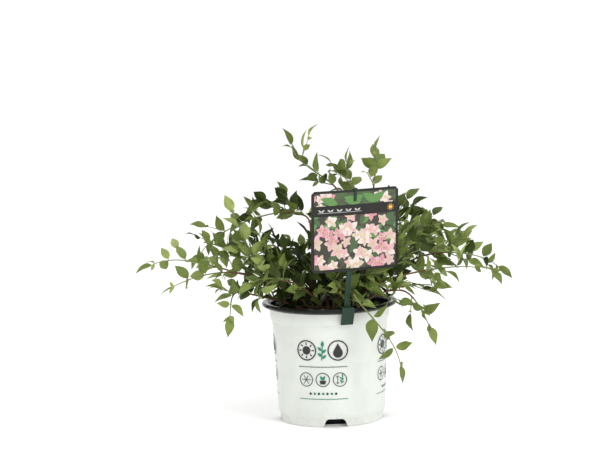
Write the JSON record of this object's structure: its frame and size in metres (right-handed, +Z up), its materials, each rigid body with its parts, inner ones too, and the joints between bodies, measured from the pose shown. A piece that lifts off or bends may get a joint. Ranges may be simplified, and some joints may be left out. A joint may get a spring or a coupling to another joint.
{
  "type": "potted shrub",
  "caption": "Leafy deciduous shrub with arching stems and opposite leaves, in a white nursery pot with a black rolled lip and a picture tag on a clipped holder.",
  "frame": {"origin": "centre of the pot's flat underside, on the surface it stands on", "axes": "+Z up along the pot's axis, -Y to the front with the tag, +X to the right as seen from the front"},
  "size_m": [0.6154, 0.4439, 0.4854],
  "materials": {
    "pot_white": "satin",
    "lip_black": "gloss",
    "potting_mix": "rough crumb",
    "holder_green": "satin",
    "card_print": "printed",
    "bark": "bark",
    "foliage": "leaf"
  },
  "bodies": {
    "root": {"pot_wall": "pot_white", "pot_lip": "lip_black", "soil": "potting_mix", "tag_holder": "holder_green", "tag_card": "card_print", "stem_left_low": "bark", "stem_left": "bark", "stem_left_inner": "bark", "stem_left_back": "bark", "stem_centre": "bark", "stem_right_back": "bark", "stem_right_upper": "bark", "stem_right": "bark", "stem_right_front": "bark", "stem_right_low": "bark", "stem_front": "bark", "stem_front_left": "bark", "stem_back": "bark", "stem_back_left": "bark", "stem_back_right": "bark", "foliage_left_far_upper": "foliage", "foliage_left_far_lower": "foliage", "foliage_left_hanging": "foliage", "foliage_left_riser": "foliage", "foliage_left_arch": "foliage", "foliage_left_inner_upper": "foliage", "foliage_left_inner_front": "foliage", "foliage_left_core": "foliage", "foliage_left_inner_back": "foliage", "foliage_front_left": "foliage", "foliage_centre_low": "foliage", "foliage_base_centre": "foliage", "foliage_top_left": "foliage", "foliage_top_middle": "foliage", "foliage_top_right": "foliage", "foliage_right_crown": "foliage", "foliage_right_shoulder": "foliage", "foliage_right_upper": "foliage", "foliage_right_far": "foliage", "foliage_right_far_lower": "foliage", "foliage_right_inner": "foliage", "foliage_right_low": "foliage", "foliage_right_hanging": "foliage", "foliage_front_hanging": "foliage", "foliage_back": "foliage", "foliage_back_low": "foliage", "foliage_back_left": "foliage", "foliage_back_right": "foliage", "foliage_back_right_low": "foliage", "foliage_right_back_low": "foliage", "foliage_centre_back": "foliage"}
  },
  "joints": []
}
